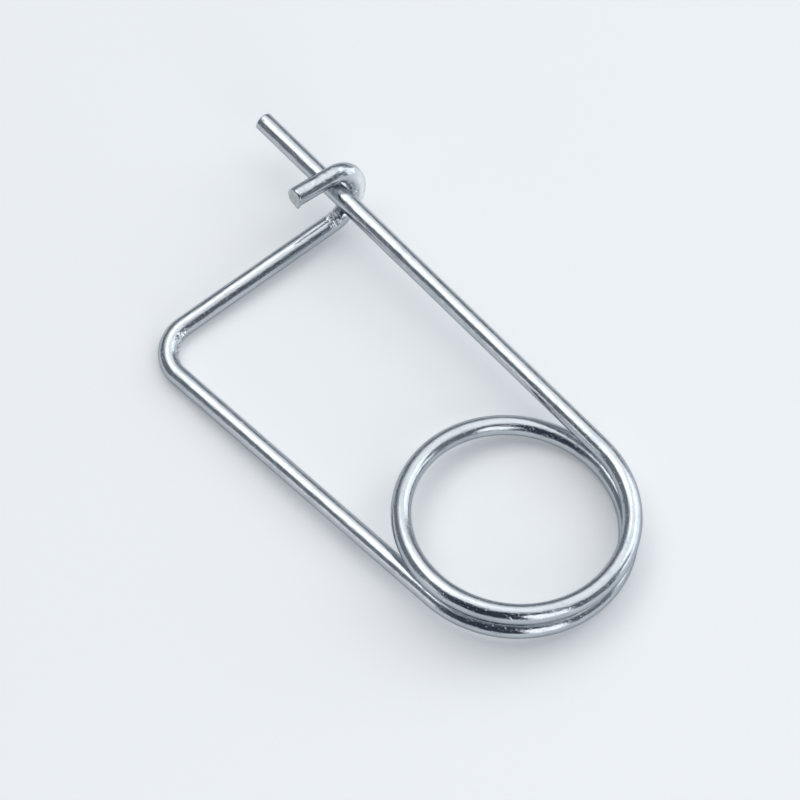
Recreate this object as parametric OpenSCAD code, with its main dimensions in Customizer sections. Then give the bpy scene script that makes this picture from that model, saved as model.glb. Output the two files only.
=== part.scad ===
// Safety cotter pin, closed. One length of round spring wire is cut square, wound into a coil and bent
// by hand tools: the pin leg, the coil, the back leg, a corner, the cross arm and a hook that passes
// beneath the pin leg and back over it. The pin lies flat, on its corner and on the last turn of its coil.

/* [Wire] */
// Diameter of the round wire
wire_d = 5; // [3:0.25:8]
// Break on the rim of each cut end
cut_break = 0.4; // [0.1:0.1:0.8]

/* [Coil] */
// Clear diameter inside the coil
coil_inner_d = 51; // [30:1:80]
// Whole turns, besides the half turn that joins the two legs
coil_turns = 1; // [1:1:3]
// Open gap from one turn to the next
turn_gap = 1.75; // [0.75:0.25:5]

/* [Legs] */
// Length of the pin leg from the coil to the hook, the longest thing that the closed pin takes in
throat_l = 97.5; // [60:0.5:160]
// Length of the pin leg past the hook, to its tip
tip_reach = 29; // [16:0.5:60]
// Angle by which the back leg opens away from the pin leg
leg_spread = 2.5; // [-3:0.5:8]

/* [Corner] */
// How much further from the coil the corner lies than the hook does
corner_lead = 3.5; // [0:0.5:12]
// Inside radius of the corner
corner_inner_r = 7; // [4:0.5:12]

/* [Hook] */
// Gap round the pin leg inside the hook bend
hook_gap = 1.5; // [1.2:0.1:4]
// First bend, which lifts the end of the arm under the pin leg
lift_angle = 34; // [20:1:50]
// Straight wire between the first bend and the main bend
web_l = 3.5; // [1:0.5:8]
// Whole angle that the wire turns through from the arm to the return
hook_angle = 174; // [160:1:185]
// Lean of the hook towards the tip
hook_lean = 13.5; // [0:0.5:25]
// Straight wire that comes back over the pin leg
return_l = 12; // [6:0.5:25]
// How far outside the middle of the main bend the sprung pin leg presses
seat_out = 0.6; // [0:0.1:0.8]
// How far above the middle of the main bend the pin leg runs
seat_up = 0.3; // [0:0.1:0.6]

/* [Hidden] */
$fn = 48;
WIRE_COLOUR = [0.79, 0.82, 0.86];
COIL_ARCS = 16;        // flat arcs that the coil is made of
OVERRUN = 1;           // length that a bend is made too long, before it is cut square
HAIR = 0.01;           // every second step of the wire is thinner by this, so none meet edge on edge
SAMPLES = 8;           // points along the corner at which its reach is measured
SAMPLE_A = 5;          // angle between such points along the coil and the hook
FLOOR_ARC = 270;       // stretch of the coil, up to the back leg, that may touch the floor
up = [0, 0, 1];

// Centre line of the coil, whose axis is +Z through the origin before the pin is laid down
coil_r = (coil_inner_d + wire_d) / 2;
pitch = wire_d + turn_gap;
sweep = 360 * coil_turns + 180 - leg_spread;

// The coil is a chain of equal flat arcs, each rolled a little against the last one, so that their
// joints lie on a true helix. One step turns by step_a and drops by step_drop over its chord.
step_a = sweep / COIL_ARCS;
step_drop = pitch * step_a / 360;
step_chord = norm([2 * coil_r * sin(step_a / 2), step_drop]);
step_roll = 2 * asin(step_drop * sin(step_a / 2) / step_chord);
arc_a = 2 * acos(cos(step_a / 2) / cos(step_roll / 2));
arc_r = step_chord / (2 * sin(arc_a / 2));
lead = asin(cos(arc_a / 2) * step_drop / step_chord);

function unit(v) = v / norm(v);

// Part of v that is square to the unit vector n
function square_to(v, n) = unit(v - (v * n) * n);

// Angle from a to b, seen against the unit vector n that both are square to
function roll_between(a, b, n) = atan2(b * cross(n, a), b * a);

function coil_point(a) = [-coil_r * sin(a), -coil_r * cos(a), pitch * (sweep - a) / 360];

// Pin leg: leaves the top of the coil along its helix
pin_leg_l = throat_l + tip_reach;
pin_dir = [cos(lead), 0, sin(lead)];
tip = coil_point(0) + pin_leg_l * pin_dir;

// Back leg: leaves the bottom of the coil the same way, as far as the corner's apex
back_dir = [-cos(sweep) * cos(lead), sin(sweep) * cos(lead), -sin(lead)];
back_inward = [sin(sweep), cos(sweep), 0];
apex = coil_point(sweep) + (throat_l + corner_lead) * back_dir;

// Hook: its main bend goes round the pin leg, so its middle hangs on the leg and the two seats
hook_r = wire_d + hook_gap;
hook_mid = coil_point(0) + throat_l * pin_dir + [0, seat_out, -seat_up];
across = unit(hook_mid - apex);
span = norm(hook_mid - apex);
hook_up = square_to(up, across);
hook_side = cos(hook_lean) * hook_up - sin(hook_lean) * cross(across, hook_up);

// Arm: runs from the apex to where the first bend starts, aimed so that the bends end up round hook_mid
mid_height = hook_r + web_l * sin(lift_angle);
aim = asin(mid_height / span);
arm_dir = cos(aim) * across - sin(aim) * hook_side;
hook_in = sin(aim) * across + cos(aim) * hook_side;
apex_to_hook = sqrt(span * span - mid_height * mid_height) - web_l * cos(lift_angle);

// Corner: a round between the back leg and the arm, in the plane of both
corner_r = corner_inner_r + wire_d / 2;
corner_a = acos(back_dir * arm_dir);
corner_cut = corner_r * tan(corner_a / 2);
corner_in = square_to(arm_dir, back_dir);
arm_in = cos(corner_a) * corner_in - sin(corner_a) * back_dir;
function corner_point(a) = apex - corner_cut * back_dir + corner_r * (sin(a) * back_dir + (1 - cos(a)) * corner_in);

// Laid down: the pin rolls about X until the corner and the lowest stretch of the coil share the floor
rest_lean = min([for (a = [sweep - FLOOR_ARC : SAMPLE_A : sweep])
    max([for (i = [0 : SAMPLES])
        let (c = coil_point(a), k = corner_point(corner_a * i / SAMPLES))
        atan2(c.z - k.z, k.y - c.y)])]);
function laid(p) = [p.x, p.y * cos(rest_lean) - p.z * sin(rest_lean), p.y * sin(rest_lean) + p.z * cos(rest_lean)];
spine = [for (p = concat(
    [tip - wire_d / 2 * pin_dir],
    [for (a = [0 : SAMPLE_A : sweep]) coil_point(a)],
    [for (i = [0 : SAMPLES]) corner_point(corner_a * i / SAMPLES)],
    [for (a = [0 : 2 * SAMPLE_A : hook_angle]) hook_mid + hook_r * (sin(a) * arm_dir - cos(a) * hook_in)]))
    laid(p)];
function lowest(i) = min([for (p = spine) p[i]]) - wire_d / 2;
function highest(i) = max([for (p = spine) p[i]]) + wire_d / 2;
footing = [(lowest(0) + highest(0)) / 2, (lowest(1) + highest(1)) / 2, lowest(2)];

// The wire's run, one row for each step: roll about the wire, straight length, bend radius, bend angle
RUN = concat(
    [[0, pin_leg_l, 0, 0]],
    [for (i = [1 : COIL_ARCS]) [i == 1 ? step_roll / 2 : step_roll, 0, arc_r, arc_a]],
    [[step_roll / 2 + roll_between(back_inward, corner_in, back_dir),
        throat_l + corner_lead - corner_cut, corner_r, corner_a]],
    [[roll_between(arm_in, hook_in, arm_dir), apex_to_hook - corner_cut, hook_r, lift_angle]],
    [[0, web_l, hook_r, hook_angle - lift_angle]],
    [[0, return_l, 0, 0]]);

// Straight wire along +Z, with the rim broken where it is a cut end
module straight(d, l, cut_start = false, cut_finish = false) {
    a = cut_start ? cut_break : 0;
    b = cut_finish ? cut_break : 0;
    translate([0, 0, a]) cylinder(d = d, h = l - a - b);
    if (cut_start) cylinder(d1 = d - 2 * cut_break, d2 = d, h = cut_break);
    if (cut_finish) translate([0, 0, l - b]) cylinder(d1 = d, d2 = d - 2 * cut_break, h = cut_break);
}

// Wire that starts along +Z and turns towards +X, made a little too long and cut square where it ends
module bend(d, r, a) {
    difference() {
        translate([r, 0, 0]) rotate([90, 0, 180])
            rotate_extrude(angle = a + OVERRUN / r * 180 / PI) translate([r, 0]) circle(d = d);
        translate([r, 0, 0]) rotate([0, a, 0]) translate([-r - d, -d, 0])
            cube([2 * d, 2 * d, 3 * OVERRUN]);
    }
}

// The run from step i on: each step is made at the end of the one before it
module wire(i = 0) {
    if (i < len(RUN)) {
        d = wire_d - (i % 2) * HAIR;
        roll = RUN[i][0];
        l = RUN[i][1];
        r = RUN[i][2];
        a = RUN[i][3];
        rotate([0, 0, roll]) {
            if (l > 0) straight(d, l, i == 0, i == len(RUN) - 1);
            if (a > 0) translate([0, 0, l]) bend(d, r, a);
            translate([r, 0, l]) rotate([0, a, 0]) translate([-r, 0, 0]) wire(i + 1);
        }
    }
}

module cotter_pin() {
    color(WIRE_COLOUR)
        translate(-footing) rotate([rest_lean, 0, 0])
            translate(tip) rotate([0, -90 - lead, 0]) rotate([0, 0, 90]) wire();
}

cotter_pin();
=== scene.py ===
"""A closed safety cotter pin of plated round spring wire, lying on a pale studio floor.

The pin is one length of wire. `PinSizes` holds its driving sizes, and `WireRun` works out the way
that the wire takes. `CotterPin` sweeps the section along it, works the folds, the lumps and the cut
ends into the surface, and dresses it. `Studio` holds the floor, the lamps and the camera.

The wire is worked out in millimetres, with the axis of its coil upright. The finished mesh is then
laid down in the part's own frame, in metres.
"""

import logging
import math
from dataclasses import dataclass, field
from enum import Enum
from typing import Any, Iterable, NamedTuple, Sequence

import bmesh
import bpy
from mathutils import Euler, Matrix, Quaternion, Vector, noise

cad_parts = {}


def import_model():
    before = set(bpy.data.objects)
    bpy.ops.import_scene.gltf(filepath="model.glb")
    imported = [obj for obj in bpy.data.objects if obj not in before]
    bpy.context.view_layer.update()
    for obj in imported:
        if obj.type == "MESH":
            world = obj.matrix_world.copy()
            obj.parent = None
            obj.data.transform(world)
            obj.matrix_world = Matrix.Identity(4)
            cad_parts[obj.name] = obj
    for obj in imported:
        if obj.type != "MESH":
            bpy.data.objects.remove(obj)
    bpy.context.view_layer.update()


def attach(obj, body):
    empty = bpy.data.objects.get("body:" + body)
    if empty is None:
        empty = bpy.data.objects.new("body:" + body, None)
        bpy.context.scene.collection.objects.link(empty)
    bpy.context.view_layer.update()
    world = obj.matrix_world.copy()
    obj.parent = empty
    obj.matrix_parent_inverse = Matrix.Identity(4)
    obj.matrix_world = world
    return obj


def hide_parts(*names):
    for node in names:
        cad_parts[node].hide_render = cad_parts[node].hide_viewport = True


log = logging.getLogger("cotter_pin")

MM = 0.001
UP = Vector((0.0, 0.0, 1.0))

Colour = tuple[float, float, float, float]


# ---- Shader maths ----


class Socket:
    """An output socket that takes part in Python expressions, each of which adds its Math node."""

    def __init__(self, graph: "Graph", socket: bpy.types.NodeSocket | None) -> None:
        """Wraps a node's output socket, or None where the node has no output."""
        self.graph = graph
        self.socket = socket

    def _maths(self, operation: str, *values: Any) -> "Socket":
        """Adds a Math node and gives its result."""
        settings = {"operation": operation}
        return self.graph.add("ShaderNodeMath", settings, dict(enumerate(values)))

    def __add__(self, other: Any) -> "Socket":
        """self + other."""
        return self._maths("ADD", self, other)

    def __radd__(self, other: Any) -> "Socket":
        """other + self."""
        return self._maths("ADD", other, self)

    def __sub__(self, other: Any) -> "Socket":
        """self - other."""
        return self._maths("SUBTRACT", self, other)

    def __rsub__(self, other: Any) -> "Socket":
        """other - self."""
        return self._maths("SUBTRACT", other, self)

    def __mul__(self, other: Any) -> "Socket":
        """self * other."""
        return self._maths("MULTIPLY", self, other)

    def __rmul__(self, other: Any) -> "Socket":
        """other * self."""
        return self._maths("MULTIPLY", other, self)

    def smooth_step(self, low: Any, high: Any) -> "Socket":
        """Rises smoothly from 0 to 1 as the value goes from low to high."""
        return self.ramp(low, high, 0.0, 1.0)

    def ramp(self, low: Any, high: Any, at_low: Any, at_high: Any) -> "Socket":
        """Maps the value smoothly from low..high to at_low..at_high.

        Args:
            low: Value that gives at_low.
            high: Value that gives at_high.
            at_low: Result at and below low.
            at_high: Result at and above high.

        Returns:
            The mapped value.
        """
        settings = {"interpolation_type": "SMOOTHSTEP"}
        sockets = {0: self, 1: low, 2: high, 3: at_low, 4: at_high}
        return self.graph.add("ShaderNodeMapRange", settings, sockets)


class Graph:
    """A node tree that is filled by one method, whatever the type of node."""

    def __init__(self, tree: bpy.types.NodeTree) -> None:
        """Empties the tree of a material or world and takes it over."""
        self.tree = tree
        tree.nodes.clear()

    def add(self, kind: str, settings: dict[str, Any] | None = None,
            sockets: dict[Any, Any] | None = None, output: Any = 0) -> Socket:
        """Adds a node.

        Args:
            kind: The node's type name.
            settings: The node's properties, which are set first.
            sockets: Values or links of its input sockets, by name or number.
            output: Name or number of the output socket to give back.

        Returns:
            The chosen output, ready for expressions.
        """
        node = self.tree.nodes.new(kind)
        for name, value in (settings or {}).items():
            setattr(node, name, value)
        for name, value in (sockets or {}).items():
            if isinstance(value, Socket):
                self.tree.links.new(value.socket, node.inputs[name])
            else:
                node.inputs[name].default_value = value
        return Socket(self, node.outputs[output] if node.outputs else None)

    def mix(self, factor: Any, a: Any, b: Any) -> Socket:
        """Mixes two colours, where a factor of 0 gives a and 1 gives b."""
        settings = {"data_type": "RGBA"}
        return self.add("ShaderNodeMix", settings, {0: factor, 6: a, 7: b}, output=2)

    def dot(self, vector: Socket, axis: Vector) -> Socket:
        """Gives the dot product of a vector socket and a fixed axis."""
        return self.add("ShaderNodeVectorMath", {"operation": "DOT_PRODUCT"},
                        {0: vector, 1: tuple(axis)}, output="Value")

    def attribute(self, name: str, output: str) -> Socket:
        """Reads an attribute of the mesh."""
        return self.add("ShaderNodeAttribute", {"attribute_name": name}, output=output)

    def bump(self, height: Socket) -> Socket:
        """Turns a height in metres into a normal."""
        return self.add("ShaderNodeBump", None,
                        {"Strength": 1.0, "Distance": 1.0, "Height": height})


def rgba(r: float, g: float, b: float) -> Colour:
    """Gives an opaque colour as the four numbers that a socket takes."""
    return (r, g, b, 1.0)


def add_object(name: str, data: bpy.types.ID) -> bpy.types.Object:
    """Makes an object and links it to the scene."""
    thing = bpy.data.objects.new(name, data)
    bpy.context.scene.collection.objects.link(thing)
    return thing


def new_material(name: str) -> tuple[bpy.types.Material, Graph]:
    """Makes an empty material, and the graph that fills it."""
    material = bpy.data.materials.new(name)
    material.use_nodes = True
    return material, Graph(material.node_tree)


# ---- The wire's way ----


class Bend(Enum):
    """Which formed stretch of the wire a station lies on."""

    STRAIGHT = "straight wire between the bends"
    COIL = "the spring coil"
    CORNER = "the round between the back leg and the arm"
    LIFT = "the first bend of the hook, which lifts the arm"
    HOOK = "the main bend of the hook, round the pin leg"


@dataclass
class Station:
    """One cross section of the wire.

    Attributes:
        point: Middle of the section.
        ahead: Direction that the wire runs in.
        inward: Direction towards the middle of the bend, or zero on straight wire.
        bend: The stretch that it lies on.
        at: Where it lies within that stretch, from 0 to 1.
        run: Length of wire from the pin leg's tip.
        side: Direction in which the section's first vertex lies, carried along without twist.
    """

    point: Vector
    ahead: Vector
    inward: Vector
    bend: Bend
    at: float
    run: float = 0.0
    side: Vector = field(default_factory=Vector)


@dataclass(frozen=True)
class PinSizes:
    """Driving sizes of the pin, in millimetres and degrees, named as in the part."""

    wire_d: float = 5.0
    cut_break: float = 0.4
    coil_inner_d: float = 51.0
    coil_turns: int = 1
    turn_gap: float = 1.75
    throat_l: float = 97.5
    tip_reach: float = 29.0
    leg_spread: float = 2.5
    corner_lead: float = 3.5
    corner_inner_r: float = 7.0
    hook_gap: float = 1.5
    lift_angle: float = 34.0
    web_l: float = 3.5
    hook_angle: float = 174.0
    hook_lean: float = 13.5
    return_l: float = 12.0
    seat_out: float = 0.6
    seat_up: float = 0.3


def square_to(vector: Vector, axis: Vector) -> Vector:
    """Gives the unit vector of what is left of vector square to the unit axis."""
    return (vector - vector.dot(axis) * axis).normalized()


def degrees_apart(angle: float, other: float) -> float:
    """Gives the shortest turn from one angle in radians to another, in degrees."""
    return math.degrees((angle - other + math.pi) % (2.0 * math.pi) - math.pi)


class WireRun:
    """Works out the wire's middle line, from the tip to the end of the return."""

    STRAIGHT_STEP = 2.0  # distance between stations on straight wire
    TIGHT_STEP = 0.14  # the same on the tight bends and beside them, where the tools left marks
    COIL_STEP = 2.0  # angle between stations on the coil
    FINE_L = 4.0  # stretch of the arm before the hook that has tight steps
    FLOOR_ARC = 270.0  # stretch of the coil, up to the back leg, that may touch the floor

    def __init__(self, sizes: PinSizes) -> None:
        """Lays the run out.

        Args:
            sizes: Driving sizes of the pin.
        """
        self.sizes = sizes
        self.stations: list[Station] = []
        self._place_bends()
        self._lay_out()
        self._carry_sides()

    def coil_point(self, angle: float) -> Vector:
        """Gives a point of the coil's helix, angle degrees of sweep from the pin leg."""
        a = math.radians(angle)
        height = self.pitch * (self.sweep - angle) / 360.0
        return Vector((-self.coil_r * math.sin(a), -self.coil_r * math.cos(a), height))

    def coil_ahead(self, angle: float) -> Vector:
        """Gives the wire's direction at a point of the coil, away from the pin leg."""
        a = math.radians(angle)
        flat = Vector((-math.cos(a), math.sin(a), 0.0)) * math.cos(self.lead)
        return flat - UP * math.sin(self.lead)

    def _place_bends(self) -> None:
        """Works out where the coil, the corner and the hook lie, by the part's own rules."""
        s = self.sizes
        self.coil_r = (s.coil_inner_d + s.wire_d) / 2.0
        self.pitch = s.wire_d + s.turn_gap
        self.sweep = 360.0 * s.coil_turns + 180.0 - s.leg_spread
        self.lead = math.atan2(self.pitch, 2.0 * math.pi * self.coil_r)
        self.pin_dir = -self.coil_ahead(0.0)
        self.back_dir = self.coil_ahead(self.sweep)
        apex = self.coil_point(self.sweep) + (s.throat_l + s.corner_lead) * self.back_dir

        self.hook_r = s.wire_d + s.hook_gap
        seat = Vector((0.0, s.seat_out, -s.seat_up))
        hook_mid = self.coil_point(0.0) + s.throat_l * self.pin_dir + seat
        across = (hook_mid - apex).normalized()
        span = (hook_mid - apex).length
        lean = math.radians(s.hook_lean)
        hook_up = square_to(UP, across)
        hook_side = math.cos(lean) * hook_up - math.sin(lean) * across.cross(hook_up)

        lift = math.radians(s.lift_angle)
        mid_height = self.hook_r + s.web_l * math.sin(lift)
        aim = math.asin(mid_height / span)
        self.arm_dir = math.cos(aim) * across - math.sin(aim) * hook_side
        self.hook_in = math.sin(aim) * across + math.cos(aim) * hook_side
        arm_l = math.sqrt(span * span - mid_height * mid_height) - s.web_l * math.cos(lift)

        self.corner_r = s.corner_inner_r + s.wire_d / 2.0
        self.corner_a = math.acos(self.back_dir.dot(self.arm_dir))
        cut = self.corner_r * math.tan(self.corner_a / 2.0)
        self.corner_in = square_to(self.arm_dir, self.back_dir)
        self.back_l = s.throat_l + s.corner_lead - cut
        self.arm_l = arm_l - cut

    def _add_straight(self, length: float, step: float) -> None:
        """Adds straight wire from the last station on.

        Args:
            length: Length of the wire.
            step: Longest distance between stations.
        """
        last = self.stations[-1]
        count = max(1, math.ceil(length / step))
        for i in range(1, count + 1):
            point = last.point + last.ahead * (length * i / count)
            station = Station(point, last.ahead.copy(), Vector(), Bend.STRAIGHT, i / count)
            self.stations.append(station)

    def _add_arc(self, radius: float, angle: float, inward: Vector, bend: Bend) -> None:
        """Adds a tight flat bend from the last station on.

        Args:
            radius: Radius of the wire's middle line.
            angle: Angle of the bend, in radians.
            inward: Direction from the last station to the middle of the bend.
            bend: The stretch that the stations lie on.
        """
        last = self.stations[-1]
        middle = last.point + inward * radius
        count = max(2, math.ceil(radius * angle / self.TIGHT_STEP))
        for i in range(1, count + 1):
            a = angle * i / count
            ahead = last.ahead * math.cos(a) + inward * math.sin(a)
            towards = inward * math.cos(a) - last.ahead * math.sin(a)
            station = Station(middle - towards * radius, ahead, towards, bend, i / count)
            self.stations.append(station)

    def _add_coil(self) -> None:
        """Adds the coil from the pin leg to the back leg."""
        count = math.ceil(self.sweep / self.COIL_STEP)
        for i in range(1, count + 1):
            angle = self.sweep * i / count
            point = self.coil_point(angle)
            inward = Vector((-point.x, -point.y, 0.0)).normalized()
            station = Station(point, self.coil_ahead(angle), inward, Bend.COIL, i / count)
            self.stations.append(station)

    def _lay_out(self) -> None:
        """Adds the stations of every stretch in order."""
        s = self.sizes
        leg_l = s.throat_l + s.tip_reach
        tip = self.coil_point(0.0) + leg_l * self.pin_dir
        self.stations.append(Station(tip, -self.pin_dir, Vector(), Bend.STRAIGHT, 0.0))
        self._add_straight(leg_l, self.STRAIGHT_STEP)
        self._add_coil()
        self._add_straight(self.back_l, self.STRAIGHT_STEP)
        self._add_arc(self.corner_r, self.corner_a, self.corner_in, Bend.CORNER)
        self._add_straight(self.arm_l - self.FINE_L, self.STRAIGHT_STEP)
        self._add_straight(self.FINE_L, self.TIGHT_STEP)
        lift = math.radians(s.lift_angle)
        main_bend = math.radians(s.hook_angle) - lift
        inward = math.cos(lift) * self.hook_in - math.sin(lift) * self.arm_dir
        self._add_arc(self.hook_r, lift, self.hook_in, Bend.LIFT)
        self._add_straight(s.web_l, self.TIGHT_STEP)
        self._add_arc(self.hook_r, main_bend, inward, Bend.HOOK)
        self._add_straight(s.return_l, self.TIGHT_STEP)

    def _carry_sides(self) -> None:
        """Carries the section along the run without twist, and measures the run."""
        first = self.stations[0]
        first.side = square_to(UP, first.ahead)
        for before, after in zip(self.stations, self.stations[1:]):
            turn = before.ahead.rotation_difference(after.ahead)
            after.side = square_to(turn @ before.side, after.ahead)
            after.run = before.run + (after.point - before.point).length

    def find(self, bend: Bend, at: float, facing: float) -> tuple[float, float]:
        """Finds a place on the wire's surface.

        Args:
            bend: The bend that it lies on.
            at: How far along the bend, where 0 is the end towards the tip.
            facing: How far round the wire from the inside of the bend, in degrees.

        Returns:
            Length of wire to the place, and its angle from the section's first vertex, in radians.
        """
        stretch = [station for station in self.stations if station.bend is bend]
        near = min(stretch, key=lambda station: abs(station.at - at))
        across = near.ahead.cross(near.side)
        inside = math.atan2(near.inward.dot(across), near.inward.dot(near.side))
        return near.run, inside + math.radians(facing)

    def rest_lean(self) -> float:
        """Gives the roll about X, in radians, that lays the corner and the coil on one floor."""
        low_end = 1.0 - self.FLOOR_ARC / self.sweep
        corner = [s.point for s in self.stations if s.bend is Bend.CORNER]
        coil = [s.point for s in self.stations if s.bend is Bend.COIL and s.at > low_end]
        return min(max(math.atan2(c.z - k.z, k.y - c.y) for k in corner) for c in coil)


# ---- What forming and use leave on the wire ----


class Mark(Enum):
    """Ways in which the bending tools mark the plate."""

    FOLDS = "sharp folds across the wire, where the plate is pressed together"
    PEEL = "lumps with creases between them, where the plate is stretched"
    # The pale colour of this mark is a painted highlight on the outside of the hook; its matt
    # roughness is rubbed plate.
    FROST_AND_PAINTED_HIGHLIGHT = "pale, matt plate that is rubbed on the outside of a bend"


# How far each mark crazes the plate, from 0 to 1
CRAZING = {Mark.FOLDS: 0.8, Mark.PEEL: 0.05, Mark.FROST_AND_PAINTED_HIGHLIGHT: 0.1}


def fade(distance: float, reach: float) -> float:
    """Falls smoothly from 1 at distance 0 to 0 at reach."""
    x = max(0.0, 1.0 - abs(distance) / reach)
    return x * x * (3.0 - 2.0 * x)


@dataclass(frozen=True)
class ToolMark:
    """A patch that the bending tools left on the wire.

    Attributes:
        mark: What it looks like.
        bend: The bend that it lies by.
        at: Where its middle is along that bend, where 0 is the end towards the tip.
        facing: Where its middle is round the wire, in degrees from the inside of the bend.
        length: Its reach along the wire to each side, in millimetres.
        width: Its reach round the wire to each side, in degrees.
        height: Height of its relief, in millimetres.
        pitch: Distance from one lump to the next, in millimetres.
    """

    mark: Mark
    bend: Bend
    at: float
    facing: float
    length: float
    width: float
    height: float
    pitch: float

    def place(self, run: WireRun) -> "PlacedMark":
        """Finds the mark's place on the wire."""
        return PlacedMark(self, *run.find(self.bend, self.at, self.facing))


@dataclass(frozen=True)
class PlacedMark:
    """A tool mark at its place on the wire.

    Attributes:
        mark: The mark.
        run: Length of wire to its middle.
        angle: Angle round the wire to its middle, in radians.
    """

    # How steeply a patch rises at its border, where 1 is a rise all the way to its middle
    BORDER_ALONG = 2.0
    BORDER_ROUND = 1.6

    # Folds: their size round the wire in millimetres, their sharpness, how far the wire sinks
    # between them, and the depth and fineness of the ripple on them
    FOLD_SPREAD = 2.2
    FOLD_SHARPNESS = 3.4
    FOLD_SINK = 0.2
    FOLD_RIPPLE = 0.3
    FOLD_RIPPLES = 2.0

    # Lumps: their squeeze along the wire, their rise out of the creases, the depth of the creases,
    # and the depth and fineness of the ripple on them
    LUMP_SQUEEZE = 0.55
    LUMP_RISE = 2.2
    LUMP_SINK = 0.5
    LUMP_RIPPLE = 0.35
    LUMP_RIPPLES = 2.3

    mark: ToolMark
    run: float
    angle: float

    def strength(self, run: float, angle: float) -> float:
        """Gives how strongly a point of the wire is marked.

        Args:
            run: Length of wire to the point.
            angle: Angle round the wire to the point, in radians.

        Returns:
            The strength, from 0 to 1.
        """
        along = fade(run - self.run, self.mark.length)
        around = fade(degrees_apart(angle, self.angle), self.mark.width)
        return min(1.0, self.BORDER_ALONG * along) * min(1.0, self.BORDER_ROUND * around)

    def relief(self, flat: Vector) -> float:
        """Gives the mark's full relief at a point of the straightened wire, in millimetres."""
        shape = self._folds(flat) if self.mark.mark is Mark.FOLDS else self._lumps(flat)
        return self.mark.height * shape

    def _folds(self, flat: Vector) -> float:
        """Gives the shape of sharp ridges across the wire, from about -0.5 to 1.1."""
        spread, pitch = self.FOLD_SPREAD, self.mark.pitch
        ridges = noise.noise(Vector((flat.x / spread, flat.y / spread, flat.z / pitch)))
        ripple = noise.noise(Vector((flat.x, flat.y, flat.z * self.FOLD_RIPPLES / pitch)))
        ridge = max(0.0, 1.0 - self.FOLD_SHARPNESS * abs(ridges))
        return ridge + self.FOLD_RIPPLE * ripple - self.FOLD_SINK

    def _lumps(self, flat: Vector) -> float:
        """Gives the shape of lumps with sharp creases between them, from about -0.8 to 1.6."""
        place = Vector((flat.x, flat.y, flat.z * self.LUMP_SQUEEZE))
        lumps = noise.noise(place / self.mark.pitch)
        ripple = noise.noise(place * self.LUMP_RIPPLES / self.mark.pitch)
        return self.LUMP_RISE * abs(lumps) - self.LUMP_SINK + self.LUMP_RIPPLE * ripple


@dataclass(frozen=True)
class Scratch:
    """A fine scratch on the coil.

    Attributes:
        at: Where it lies along the coil, where 0 is the end towards the tip.
        facing: Where its middle is round the wire, in degrees from the inside of the coil.
        reach: Its reach round the wire to each side, in millimetres.
        slant: Its slant against a line square to the wire, in degrees.
        breadth: Half of its breadth, in millimetres.
    """

    at: float
    facing: float
    reach: float
    slant: float
    breadth: float

    def draw(self, graph: Graph, wire: Socket, run: WireRun) -> Socket:
        """Draws the scratch.

        Args:
            graph: Node tree of the plate.
            wire: Coordinates on the straightened wire, in metres.
            run: The wire's run.

        Returns:
            How far each point is scratched, from 0 to 1.
        """
        middle, angle = run.find(Bend.COIL, self.at, self.facing)
        out = Vector((math.cos(angle), math.sin(angle), 0.0))
        around = Vector((-out.y, out.x, 0.0))
        square = UP - around * math.tan(math.radians(self.slant))
        off_line = graph.dot(wire, square) - middle * MM
        off_middle = graph.dot(wire, around)
        line = (off_line * off_line).ramp(0.0, (self.breadth * MM) ** 2, 1.0, 0.0)
        span = (off_middle * off_middle).ramp(0.0, (self.reach * MM) ** 2, 1.0, 0.0)
        on_this_side = graph.dot(wire, out).smooth_step(0.0, MM)
        return line * span * on_this_side


# ---- Finishes ----


@dataclass(frozen=True)
class Grain:
    """A fine random pattern on the straightened wire.

    Attributes:
        scale: How many of its features lie in a metre.
        detail: Octaves of finer features on them.
        rough: Strength of each octave against the one before it.
        squeeze: Factors on the scale, two round the wire and one along it, small for lines.
        low: Value at which the pattern's mask starts.
        high: Value at which the mask is full.
        depth: Depth of its relief, in metres.
    """

    scale: float
    detail: float
    rough: float
    squeeze: tuple[float, float, float] = (1.0, 1.0, 1.0)
    low: float = 0.45
    high: float = 0.75
    depth: float = 0.0

    def draw(self, graph: Graph, wire: Socket) -> Socket:
        """Gives the pattern's value at each point of the wire."""
        squeezed = graph.add("ShaderNodeVectorMath", {"operation": "MULTIPLY"},
                             {0: wire, 1: self.squeeze})
        return graph.add("ShaderNodeTexNoise", None, {
            "Vector": squeezed, "Scale": self.scale,
            "Detail": self.detail, "Roughness": self.rough})

    def mask(self, graph: Graph, wire: Socket) -> Socket:
        """Gives the pattern's mask, from 0 to 1, at each point of the wire."""
        return self.draw(graph, wire).smooth_step(self.low, self.high)


@dataclass(frozen=True)
class Dulling:
    """Roughness that each fault adds to the clean plate where it is strongest."""

    stain: float = 0.072
    lines: float = 0.048
    flaked: float = 0.096
    frost_and_highlight: float = 0.192
    pits: float = 0.18
    nicks: float = 0.36


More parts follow.
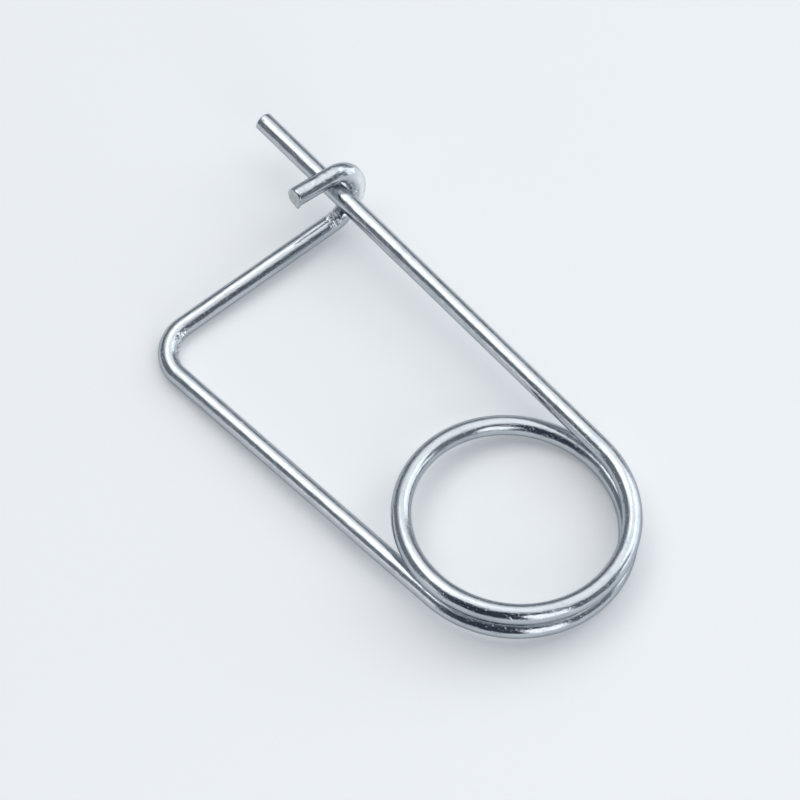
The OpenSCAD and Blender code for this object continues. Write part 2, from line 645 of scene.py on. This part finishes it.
@dataclass(frozen=True)
class BrightZinc:
    """Bright zinc plate on drawn wire, with its drawn lines, pits, stains and scratches.

    Attributes:
        colour: Colour of the metal.
        shade: Colour where the plate is thin or stained.
        rim: Tint of what the plate mirrors at a glancing angle.
        flake_and_highlight: Colour where the plate is crazed or scratched, and the near-white of
            the painted highlight on rubbed plate.
        polish: Roughness of the clean plate.
        dulling: Roughness that its faults add.
        lines: Drawn lines, which are fine and long.
        waves: Long waves that drawing leaves along the wire.
        specks: Grain of the plate, whose highest specks are pits.
        pit_depth: Depth of the pits, in metres.
        pit_spread: How much sooner crazed plate is pitted.
        pit_paleness: How far pits take the colour of flaked plate.
        clouds: Cloudy stains.
        cloud_stain: How strongly they stain.
        bands: Stains in long bands.
        band_stain: How strongly they stain.
        flaking: Pattern in which crazed plate flakes.
        frost_highlight_pattern: Pattern of the painted highlight on rubbed plate.
        frost_highlight_least: How pale the painted highlight on rubbed plate is at least, where 1
            is the most.
        frost_highlight_chalk: How much of its metal look rubbed plate loses, so that the pale
            colour of the painted highlight shows.
        scratches: Single scratches on the coil.
        scratch_depth: Their depth, in metres.
    """

    colour: Colour = rgba(0.53, 0.56, 0.59)
    shade: Colour = rgba(0.38, 0.42, 0.46)
    rim: Colour = rgba(0.50, 0.53, 0.57)
    flake_and_highlight: Colour = rgba(0.95, 0.97, 0.98)
    polish: float = 0.10
    dulling: Dulling = Dulling()
    lines: Grain = Grain(1500.0, 3.0, 0.65, (1.0, 1.0, 0.16), depth=0.00006)
    waves: Grain = Grain(260.0, 1.0, 0.5, (1.0, 1.0, 0.4), depth=0.00006)
    specks: Grain = Grain(2400.0, 2.0, 0.7, low=0.63, high=0.74, depth=0.000026)
    pit_depth: float = 0.000045
    pit_spread: float = 0.10
    pit_paleness: float = 0.4
    clouds: Grain = Grain(160.0, 3.0, 0.6)
    cloud_stain: float = 0.5
    bands: Grain = Grain(700.0, 2.0, 0.5, (1.0, 1.0, 0.05), 0.5, 0.8)
    band_stain: float = 0.4
    flaking: Grain = Grain(1300.0, 3.0, 0.6, low=0.42, high=0.60)
    frost_highlight_pattern: Grain = Grain(420.0, 3.0, 0.6, low=0.35, high=0.60)
    frost_highlight_least: float = 0.85
    frost_highlight_chalk: float = 0.15
    scratches: tuple[Scratch, ...] = (
        Scratch(at=0.254, facing=-151.0, reach=0.75, slant=36.0, breadth=0.20),
        Scratch(at=0.926, facing=-122.0, reach=0.35, slant=24.0, breadth=0.20),
        Scratch(at=0.935, facing=-116.0, reach=0.25, slant=0.0, breadth=0.20),
        Scratch(at=0.312, facing=-174.0, reach=0.60, slant=12.0, breadth=0.16),
    )
    scratch_depth: float = 0.00006

    def material(self, name: str, run: WireRun) -> bpy.types.Material:
        """Builds the finish.

        Args:
            name: The material's name.
            run: The wire's run, on which the scratches are placed.

        Returns:
            A material that reads the attributes "straight", "crazed" and "frosted" of the mesh; the
            last places the painted highlight on rubbed plate.
        """
        material, graph = new_material(name)
        wire = graph.attribute("straight", "Vector")
        crazed = graph.attribute("crazed", "Fac")
        frosted_and_highlit = graph.attribute("frosted_and_highlit", "Fac")

        lines = self.lines.draw(graph, wire)
        waves = self.waves.draw(graph, wire)
        specks = self.specks.draw(graph, wire)
        pits = specks.smooth_step(self.specks.low - crazed * self.pit_spread, self.specks.high)
        clouds = self.clouds.mask(graph, wire)
        bands = self.bands.mask(graph, wire)
        stain = clouds * self.cloud_stain + bands * self.band_stain
        flaked = crazed * self.flaking.mask(graph, wire)
        # Painted highlight: on rubbed plate, the colour goes towards the near-white flake colour
        # and the metal look drops.
        frost_and_highlight = frosted_and_highlit * self.frost_highlight_pattern.draw(graph, wire).ramp(
            self.frost_highlight_pattern.low, self.frost_highlight_pattern.high, self.frost_highlight_least, 1.0)
        nicks = sum((scratch.draw(graph, wire, run) for scratch in self.scratches), 0.0)

        stained = graph.mix(stain, self.colour, self.shade)
        worn = graph.mix(flaked + pits * self.pit_paleness + nicks, stained, self.flake_and_highlight)
        dulling = self.dulling
        roughness = (self.polish
                     + stain * dulling.stain
                     + lines.smooth_step(self.lines.low, self.lines.high) * dulling.lines
                     + flaked * dulling.flaked
                     + frost_and_highlight * dulling.frost_and_highlight
                     + pits * dulling.pits
                     + nicks * dulling.nicks)
        height = (lines * self.lines.depth + waves * self.waves.depth
                  + specks * self.specks.depth - pits * self.pit_depth
                  - nicks * self.scratch_depth)
        shader = graph.add("ShaderNodeBsdfPrincipled", None, {
            "Base Color": graph.mix(frost_and_highlight, worn, self.flake_and_highlight),
            "Metallic": 1.0 - frost_and_highlight * self.frost_highlight_chalk,
            "Roughness": roughness,
            "Specular Tint": self.rim,
            "Normal": graph.bump(height)})
        graph.add("ShaderNodeOutputMaterial", None, {"Surface": shader})
        return material


@dataclass(frozen=True)
class ShearedEnd:
    """Bare steel where the wire was sheared, matt and grey with the tracks of the blade.

    Attributes:
        colour: Colour of the fresh metal.
        track_colour: Colour between the blade's tracks.
        metal: How metallic the torn face is.
        dullness: Its roughness.
        grain_dullness: Roughness that the grain adds.
        tracks: Tracks of the blade.
        grain: Grain of the torn metal.
    """

    colour: Colour = rgba(0.72, 0.74, 0.71)
    track_colour: Colour = rgba(0.56, 0.58, 0.56)
    metal: float = 0.4
    dullness: float = 0.5
    grain_dullness: float = 0.15
    tracks: Grain = Grain(1500.0, 3.0, 0.6, (0.25, 1.0, 0.3), 0.4, 0.7, depth=0.00005)
    grain: Grain = Grain(3500.0, 2.0, 0.6, depth=0.00002)

    def material(self, name: str) -> bpy.types.Material:
        """Builds the finish.

        Args:
            name: The material's name.

        Returns:
            A material that reads the attribute "straight" of the mesh.
        """
        material, graph = new_material(name)
        wire = graph.attribute("straight", "Vector")
        tracks = self.tracks.draw(graph, wire)
        grain = self.grain.draw(graph, wire)
        worn = tracks.smooth_step(self.tracks.low, self.tracks.high)
        height = tracks * self.tracks.depth + grain * self.grain.depth
        shader = graph.add("ShaderNodeBsdfPrincipled", None, {
            "Base Color": graph.mix(worn, self.colour, self.track_colour),
            "Metallic": self.metal,
            "Roughness": self.dullness + grain * self.grain_dullness,
            "Normal": graph.bump(height)})
        graph.add("ShaderNodeOutputMaterial", None, {"Surface": shader})
        return material


# ---- The pin ----


class Section(NamedTuple):
    """One ring of the mesh, with its radius and its shift along the wire in millimetres."""

    station: Station
    radius: float
    shift: float
    on_face: bool


class SurfacePoint(NamedTuple):
    """One vertex: its place, its place on the unbent wire, its wear from 0 to 1, and the strength
    of the painted highlight on rubbed plate.
    """

    place: Vector
    flat: Vector
    crazed: float
    frosted_and_highlit: float


@dataclass
class CotterPin:
    """The whole pin, one swept wire.

    Attributes:
        sizes: Driving sizes.
        plate: Finish of the wire.
        cut: Finish of the two cut ends.
        marks: What the bending tools left on it.
        slant: Angle by which the return is cut off square, in degrees.
        slant_facing: Where its shorter side is round the wire, in degrees from the hook's inside.
        slant_share: Share of the return's length over which the slant fades out.
        burr: Height of the burr on the end of the return, in millimetres.
        burr_facing: Where the burr is round the wire, in degrees from the hook's inside.
        burr_width: Its reach round the wire to each side, in degrees.
        burr_reach: Its reach along the wire, in millimetres.
        burr_power: How quickly it falls off from the rim towards the middle of the cut face.
        sides: Vertices round the section.
        face_rings: Rings of vertices on each cut face.
        rim_rings: Rings of vertices on the round of its rim.
    """

    sizes: PinSizes = field(default_factory=PinSizes)
    plate: BrightZinc = field(default_factory=BrightZinc)
    cut: ShearedEnd = field(default_factory=ShearedEnd)
    marks: Sequence[ToolMark] = (
        ToolMark(Mark.FOLDS, Bend.CORNER, 0.48, 10.0, 5.6, 52.0, 0.50, 2.2),
        ToolMark(Mark.FOLDS, Bend.CORNER, 0.84, -24.0, 2.6, 38.0, 0.30, 1.9),
        ToolMark(Mark.FOLDS, Bend.LIFT, 0.10, 8.0, 3.0, 95.0, 0.26, 1.9),
        ToolMark(Mark.PEEL, Bend.LIFT, 0.90, 60.0, 2.4, 60.0, 0.06, 1.0),
        ToolMark(Mark.FOLDS, Bend.HOOK, 0.14, 12.0, 5.4, 80.0, 0.32, 2.4),
        ToolMark(Mark.FOLDS, Bend.HOOK, 0.62, 10.0, 5.0, 75.0, 0.28, 2.2),
        # Painted highlight: this rubbed patch on the outside of the hook is coloured pale, in place
        # of a bright reflection.
        ToolMark(Mark.FROST_AND_PAINTED_HIGHLIGHT, Bend.HOOK, 0.26, 132.0, 9.0, 85.0, 0.02, 1.6),
        ToolMark(Mark.PEEL, Bend.HOOK, 0.74, 116.0, 4.8, 60.0, 0.05, 1.6),
        ToolMark(Mark.PEEL, Bend.HOOK, 1.00, 146.0, 12.0, 70.0, 0.055, 1.2),
    )
    slant: float = 8.0
    slant_facing: float = 142.0
    slant_share: float = 0.25
    burr: float = 0.60
    burr_facing: float = 38.0
    burr_width: float = 48.0
    burr_reach: float = 0.8
    burr_power: int = 6
    sides: int = 80
    face_rings: int = 6
    rim_rings: int = 4

    # Stations nearer to an end than this many times the rim's break make way for its round
    CLEAR_OF_RIM = 1.5

    def __post_init__(self) -> None:
        """Lays out the wire, its marks and the way that it lies on the floor."""
        self.run = WireRun(self.sizes)
        self.radius = self.sizes.wire_d / 2.0
        self.lay = Matrix.Rotation(self.run.rest_lean(), 4, "X")
        self.placed = [mark.place(self.run) for mark in self.marks]
        self.slant_angle = self.run.find(Bend.HOOK, 1.0, self.slant_facing)[1]
        self.burr_angle = self.run.find(Bend.HOOK, 1.0, self.burr_facing)[1]

    def _slant(self, section: Section, angle: float) -> float:
        """Gives how far the slanted cut moves a point of the return along the wire.

        Args:
            section: The section that the point lies on.
            angle: Angle round the wire to the point, in radians.

        Returns:
            The distance, in millimetres, which is 0 away from the return's end.
        """
        to_end = self.run.stations[-1].run - section.station.run
        near = fade(to_end, self.sizes.return_l * self.slant_share)
        slope = math.tan(math.radians(self.slant))
        return -near * slope * section.radius * math.cos(angle - self.slant_angle)

    def _burr(self, section: Section, angle: float) -> float:
        """Gives how far the burr draws a point out at the end of the return.

        Args:
            section: The section that the point lies on.
            angle: Angle round the wire to the point, in radians.

        Returns:
            The distance, in millimetres, both along the wire and out from it.
        """
        if section.station is not self.run.stations[-1]:
            return 0.0
        around = fade(degrees_apart(angle, self.burr_angle), self.burr_width)
        to_rim = (section.radius / self.radius) ** self.burr_power
        return self.burr * around * to_rim * fade(section.shift, self.burr_reach)

    def _wear(self, near: Sequence[PlacedMark], run: float, angle: float,
              flat: Vector) -> tuple[float, float, float]:
        """Gives what the tool marks do to a point.

        Args:
            near: The marks that reach its section.
            run: Length of wire to its section.
            angle: Angle round the wire to the point, in radians.
            flat: Its place on the straightened wire.

        Returns:
            How far they lift it, in millimetres, how far it is crazed, and how strong the painted
            highlight on rubbed plate is.
        """
        lift, crazed, frosted_and_highlit = 0.0, 0.0, 0.0
        for placed in near:
            strength = placed.strength(run, angle)
            if strength > 0.0:
                lift += strength * placed.relief(flat)
                crazed = max(crazed, strength * CRAZING[placed.mark.mark])
                # Where the painted highlight on rubbed plate lies.
                if placed.mark.mark is Mark.FROST_AND_PAINTED_HIGHLIGHT:
                    frosted_and_highlit = max(frosted_and_highlit, strength)
        return lift, crazed, frosted_and_highlit

    def _ring(self, section: Section) -> list[SurfacePoint]:
        """Gives the points of one section.

        Args:
            section: The section.

        Returns:
            Its points, one for each side.
        """
        station, radius = section.station, section.radius
        across = station.ahead.cross(station.side)
        near = [mark for mark in self.placed if abs(mark.run - station.run) < mark.mark.length]
        points = []
        for i in range(self.sides):
            a = 2.0 * math.pi * i / self.sides
            x, y = math.cos(a), math.sin(a)
            flat = Vector((radius * x, radius * y, station.run + section.shift))
            lift, crazed, frosted_and_highlit = self._wear(near, station.run, a, flat)
            burr = self._burr(section, a)
            ahead = section.shift + burr + self._slant(section, a)
            out = (station.side * x + across * y) * (radius + lift + burr)
            place = station.point + station.ahead * ahead + out
            points.append(SurfacePoint(place, flat, crazed, frosted_and_highlit))
        return points

    def _end(self, station: Station, way: float) -> list[Section]:
        """Gives the sections of a cut end.

        Args:
            station: The end's station.
            way: 1 where the wire lies ahead of the end, -1 where it lies behind.

        Returns:
            The sections, from the innermost ring of the face to the full wire.
        """
        edge = self.sizes.cut_break
        inner = self.radius - edge
        sections = []
        for i in range(1, self.face_rings + 1):
            sections.append(Section(station, inner * i / self.face_rings, 0.0, True))
        for i in range(1, self.rim_rings + 1):
            a = math.pi / 2.0 * i / self.rim_rings
            shift = way * edge * (1.0 - math.cos(a))
            sections.append(Section(station, inner + edge * math.sin(a), shift, False))
        return sections

    def _sections(self) -> list[Section]:
        """Gives every section in order, from the middle of one cut face to that of the other."""
        first, *between, last = self.run.stations
        clear = self.sizes.cut_break * self.CLEAR_OF_RIM
        wire = [Section(station, self.radius, 0.0, False) for station in between
                if clear < station.run < last.run - clear]
        return self._end(first, 1.0) + wire + self._end(last, -1.0)[::-1]

    def build(self) -> bpy.types.Object:
        """Sweeps the wire, works its surface and dresses it.

        Returns:
            The wire, in the part's frame.
        """
        mesh = bmesh.new()
        self._sweep(mesh)
        self._set_down(mesh)
        mesh.normal_update()
        data = bpy.data.meshes.new("cotter_pin_wire")
        mesh.to_mesh(data)
        mesh.free()
        data.materials.append(self.plate.material("bright_zinc_wire", self.run))
        data.materials.append(self.cut.material("sheared_wire_end"))
        return add_object("cotter_pin_wire", data)

    def _sweep(self, mesh: bmesh.types.BMesh) -> None:
        """Adds every section and the faces between them.

        Args:
            mesh: The empty mesh.
        """
        straight = mesh.verts.layers.float_vector.new("straight")
        crazed = mesh.verts.layers.float.new("crazed")
        frosted_and_highlit = mesh.verts.layers.float.new("frosted_and_highlit")
        sections = self._sections()
        rings: list[list[bmesh.types.BMVert]] = []
        for section in sections:
            ring = []
            for point in self._ring(section):
                vertex = mesh.verts.new(self.lay @ point.place)
                vertex[straight] = point.flat * MM
                vertex[crazed] = point.crazed
                vertex[frosted_and_highlit] = point.frosted_and_highlit
                ring.append(vertex)
            rings.append(ring)
        for index, (low, high) in enumerate(zip(rings, rings[1:])):
            on_face = sections[index].on_face and sections[index + 1].on_face
            for i in range(self.sides):
                j = (i + 1) % self.sides
                self._face(mesh, (low[i], low[j], high[j], high[i]), on_face)
        self._close(mesh, straight, rings[0][::-1], sections[0].station)
        self._close(mesh, straight, rings[-1], sections[-1].station)

    @staticmethod
    def _face(mesh: bmesh.types.BMesh, ring: Sequence[bmesh.types.BMVert],
              on_cut: bool) -> None:
        """Adds a smooth face of the plate or of a cut end."""
        face = mesh.faces.new(ring)
        face.smooth = True
        face.material_index = 1 if on_cut else 0

    def _close(self, mesh: bmesh.types.BMesh, straight: Any, ring: list[bmesh.types.BMVert],
               station: Station) -> None:
        """Closes a cut face with a fan.

        Args:
            mesh: The mesh that is being built.
            straight: Layer of the straightened coordinates.
            ring: The innermost ring of the face, anticlockwise as seen from outside.
            station: The ring's station.
        """
        middle = mesh.verts.new(self.lay @ station.point)
        middle[straight] = Vector((0.0, 0.0, station.run)) * MM
        for i in range(self.sides):
            self._face(mesh, (ring[i], ring[(i + 1) % self.sides], middle), True)

    @staticmethod
    def _set_down(mesh: bmesh.types.BMesh) -> None:
        """Moves the mesh over the middle of its box and onto the floor, and turns it to metres.

        Args:
            mesh: The finished mesh, in millimetres.
        """
        low = Vector([min(vertex.co[k] for vertex in mesh.verts) for k in range(3)])
        high = Vector([max(vertex.co[k] for vertex in mesh.verts) for k in range(3)])
        foot = Vector(((low.x + high.x) / 2.0, (low.y + high.y) / 2.0, low.z))
        for vertex in mesh.verts:
            vertex.co = (vertex.co - foot) * MM


# ---- The studio ----


def direction(azimuth: float, elevation: float) -> Vector:
    """Gives the unit vector towards an azimuth and elevation, in degrees."""
    a, e = math.radians(azimuth), math.radians(elevation)
    return Vector((math.cos(e) * math.cos(a), math.cos(e) * math.sin(a), math.sin(e)))


def looking_back(towards: Vector, turn: float) -> Euler:
    """Gives the rotation of what stands in a direction and looks back, turned by some degrees."""
    upright = towards.to_track_quat("Z", "Y")
    return (upright @ Quaternion(UP, math.radians(turn))).to_euler()


@dataclass(frozen=True)
class SoftBox:
    """A soft lamp that faces the middle of the floor.

    Attributes:
        name: The lamp's name.
        azimuth: Direction that it stands in, in degrees.
        elevation: Height above the floor, in degrees.
        distance: Distance from the middle, in metres.
        width: Width, in metres.
        height: Height, in metres.
        brightness: Radiance of its face, where 1 is the white of the render.
        turn: Turn of the lamp about the line to the middle, in degrees.
        colour: Colour of its light.
    """

    name: str
    azimuth: float
    elevation: float
    distance: float
    width: float
    height: float
    brightness: float
    turn: float = 0.0
    colour: tuple[float, float, float] = (1.0, 1.0, 1.0)

    def hang(self) -> None:
        """Hangs the lamp."""
        data = bpy.data.lights.new(self.name, "AREA")
        data.shape = "RECTANGLE"
        data.size, data.size_y = self.width, self.height
        data.energy = self.brightness * math.pi * self.width * self.height
        data.color = self.colour
        towards = direction(self.azimuth, self.elevation)
        lamp = add_object(self.name, data)
        lamp.location = towards * self.distance
        lamp.rotation_euler = looking_back(towards, self.turn)
        lamp.visible_camera = False


@dataclass
class Studio:
    """Pale floor, soft lamps, surroundings and camera.

    Attributes:
        lamps: The soft lamps.
        floor_size: Side of the floor, in metres.
        floor_drop: How far the floor lies under the pin, in metres.
        floor_colour: Colour of the floor.
        floor_roughness: Roughness of the floor.
        floor_gloss: Specular level of the floor.
        floor_glow: Light that the floor adds of its own where it is seen, which keeps it pale.
        room_colour: Light of the surroundings.
        ceiling_colour: Light of the bright ceiling.
        ceiling: Azimuth and elevation of the ceiling's bright middle, in degrees.
        ceiling_border: Cosines of the angles from there at which it starts and is full.
        dark_colour: Light of the dark side, behind the camera.
        dark_side: Azimuth and elevation of the dark side, in degrees.
        dark_border: Cosines of the angles from there at which it starts and is full.
        aim: Point that the camera faces, in metres.
        azimuth: Direction of the camera from there, in degrees.
        elevation: Its height above the floor, in degrees.
        roll: Its roll, in degrees.
        distance: Its distance, in metres.
        lens: Its focal length, in millimetres.
        sensor: Width of its sensor, in millimetres.
    """

    lamps: Sequence[SoftBox] = (
        SoftBox("overhead_softbox", 5.0, 67.0, 1.2, 1.0, 0.5, 0.9),
        SoftBox("side_softbox", 254.0, 18.0, 1.2, 0.7, 1.15, 1.4, -13.0, (0.90, 0.96, 1.0)),
        SoftBox("edge_softbox", 227.0, 6.0, 1.2, 0.4, 0.45, 1.4, 0.0, (0.90, 0.96, 1.0)),
        SoftBox("front_softbox", 165.0, 20.0, 1.2, 0.6, 1.0, 1.75),
        SoftBox("low_softbox", 75.0, 6.0, 1.2, 0.34, 0.5, 0.95),
    )
    floor_size: float = 6.0
    floor_drop: float = 0.0001
    floor_colour: Colour = rgba(0.88, 0.895, 0.91)
    floor_roughness: float = 0.75
    floor_gloss: float = 0.2
    floor_glow: float = 0.145
    room_colour: Colour = rgba(0.215, 0.24, 0.265)
    ceiling_colour: Colour = rgba(1.38, 1.41, 1.435)
    ceiling: tuple[float, float] = (295.0, 72.0)
    ceiling_border: tuple[float, float] = (0.57, 0.93)
    dark_colour: Colour = rgba(0.045, 0.06, 0.085)
    dark_side: tuple[float, float] = (135.0, 32.0)
    dark_border: tuple[float, float] = (0.48, 0.85)
    aim: tuple[float, float, float] = (-0.004233, -0.000775, 0.0075)
    azimuth: float = 139.056
    elevation: float = 60.461
    roll: float = -1.429
    distance: float = 0.8055
    lens: float = 146.07
    sensor: float = 36.0

    def build(self) -> None:
        """Sets up the whole studio."""
        self._lay_floor()
        self._set_world()
        for lamp in self.lamps:
            lamp.hang()
        self._stand_camera()
        bpy.context.scene.view_settings.view_transform = "Standard"

    def _lay_floor(self) -> None:
        """Lays the pale floor just under the pin."""
        mesh = bmesh.new()
        bmesh.ops.create_grid(mesh, x_segments=1, y_segments=1, size=self.floor_size / 2.0)
        data = bpy.data.meshes.new("floor")
        mesh.to_mesh(data)
        mesh.free()
        data.materials.append(self._floor_material())
        floor = add_object("floor", data)
        floor.location = (0.0, 0.0, -self.floor_drop)

    def _floor_material(self) -> bpy.types.Material:
        """Builds the floor's finish, which glows a little where it is seen or mirrored."""
        material, graph = new_material("pale_floor")
        cloth = graph.add("ShaderNodeBsdfPrincipled", None, {
            "Base Color": self.floor_colour, "Roughness": self.floor_roughness,
            "Specular IOR Level": self.floor_gloss})
        glow = graph.add("ShaderNodeEmission", None, {
            "Color": self.floor_colour, "Strength": self.floor_glow})
        lit = graph.add("ShaderNodeAddShader", None, {0: cloth, 1: glow})
        seen = [graph.add("ShaderNodeLightPath", output=ray)
                for ray in ("Is Camera Ray", "Is Glossy Ray", "Is Transmission Ray")]
        shader = graph.add("ShaderNodeMixShader", None, {0: sum(seen, 0.0), 1: cloth, 2: lit})
        graph.add("ShaderNodeOutputMaterial", None, {"Surface": shader})
        return material

    def _set_world(self) -> None:
        """Fills the surroundings with a soft grey that has a bright ceiling and a dark side."""
        world = bpy.data.worlds.new("studio_surroundings")
        world.use_nodes = True
        graph = Graph(world.node_tree)
        towards = graph.add("ShaderNodeTexCoord", output="Generated")
        bright = graph.dot(towards, direction(*self.ceiling)).smooth_step(*self.ceiling_border)
        dark = graph.dot(towards, direction(*self.dark_side)).smooth_step(*self.dark_border)
        room = graph.mix(bright, self.room_colour, self.ceiling_colour)
        background = graph.add("ShaderNodeBackground", None, {
            "Color": graph.mix(dark, room, self.dark_colour), "Strength": 1.0})
        graph.add("ShaderNodeOutputWorld", None, {"Surface": background})
        bpy.context.scene.world = world

    def _stand_camera(self) -> None:
        """Stands the camera over the pin and makes it the scene's."""
        data = bpy.data.cameras.new("camera")
        data.sensor_width, data.lens = self.sensor, self.lens
        towards = direction(self.azimuth, self.elevation)
        camera = add_object("camera", data)
        camera.location = Vector(self.aim) + towards * self.distance
        camera.rotation_euler = looking_back(towards, self.roll)
        bpy.context.scene.camera = camera


def main() -> None:
    """Builds the pin and its studio."""
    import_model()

    pin = CotterPin()
    wire = pin.build()
    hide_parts("cotter_pin")
    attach(wire, "root")
    log.info("%s: %.1f mm of wire, %d faces",
             wire.name, pin.run.stations[-1].run, len(wire.data.polygons))

    studio = Studio()
    studio.build()
    log.info("studio: %d soft lamps", len(studio.lamps))


if __name__ == "__main__":
    logging.basicConfig(level=logging.INFO, format="%(message)s")
    main()
